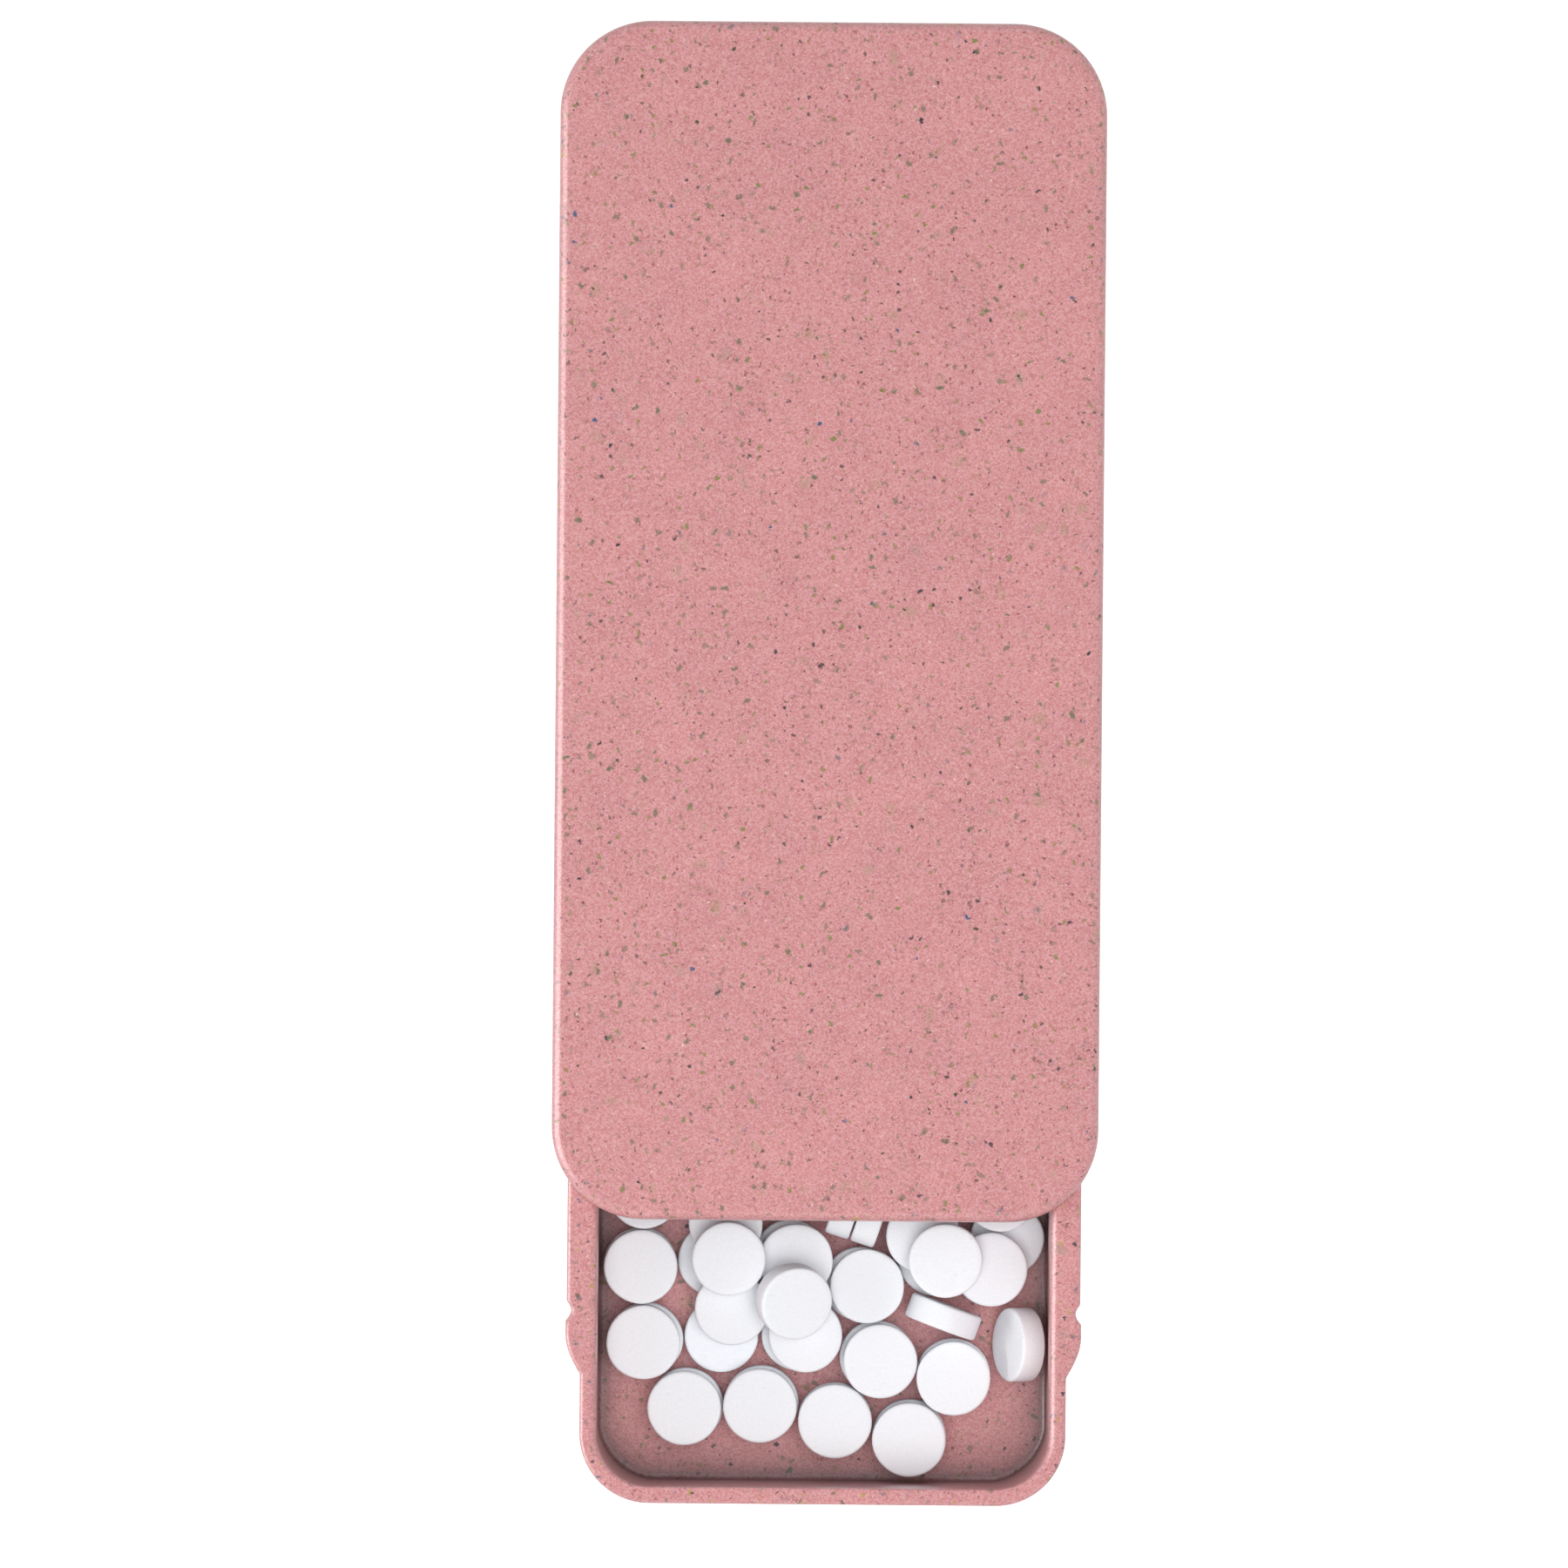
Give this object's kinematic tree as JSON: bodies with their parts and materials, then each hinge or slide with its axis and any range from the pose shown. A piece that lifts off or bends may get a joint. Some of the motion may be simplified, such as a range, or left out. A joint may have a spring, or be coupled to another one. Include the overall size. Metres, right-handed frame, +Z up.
{
  "type": "mint box",
  "caption": "Slim slide-open mint box: a rounded shallow tray with side rails, a flat lid that slides along them in a channel, and loose flat round mints in the tray.",
  "frame": {"origin": "centre of the tray's flat underside", "axes": "+Z up; +Y from the tray's near end, which stands out of the lid, towards the far end; +X to the right seen from above with the near end at the bottom"},
  "size_m": [0.0438, 0.1188, 0.014],
  "materials": {
    "tray_composite": "satin, moulded, speckled with straw fibre",
    "lid_composite": "satin, moulded, speckled with straw fibre",
    "mint": "chalky, pressed"
  },
  "bodies": {
    "tray": {"tray": "tray_composite", "mint_01": "mint", "mint_02": "mint", "mint_03": "mint", "mint_04": "mint", "mint_05": "mint", "mint_06": "mint", "mint_07": "mint", "mint_08": "mint", "mint_09": "mint", "mint_10": "mint", "mint_11": "mint", "mint_12": "mint", "mint_13": "mint", "mint_14": "mint", "mint_15": "mint", "mint_16": "mint", "mint_17": "mint", "mint_18": "mint", "mint_19": "mint", "mint_20": "mint", "mint_21": "mint", "mint_22": "mint", "mint_23": "mint", "mint_24": "mint", "mint_25": "mint", "mint_26": "mint", "mint_27": "mint", "mint_28": "mint", "mint_29": "mint", "mint_30": "mint", "mint_31": "mint", "mint_32": "mint", "mint_33": "mint", "mint_34": "mint", "mint_35": "mint", "mint_36": "mint", "mint_37": "mint", "mint_38": "mint", "mint_39": "mint", "mint_40": "mint", "mint_41": "mint", "mint_42": "mint", "mint_43": "mint", "mint_44": "mint", "mint_45": "mint", "mint_46": "mint", "mint_47": "mint", "mint_48": "mint", "mint_49": "mint", "mint_50": "mint", "mint_51": "mint", "mint_52": "mint", "mint_53": "mint", "mint_54": "mint", "mint_55": "mint", "mint_56": "mint", "mint_57": "mint", "mint_58": "mint"},
    "lid": {"lid": "lid_composite"}
  },
  "joints": [
    {"name": "lid_slide", "type": "slide", "parent": "tray", "child": "lid", "axis": [0, 1, 0], "range_m": [-0.0238, 0.045]}
  ]
}
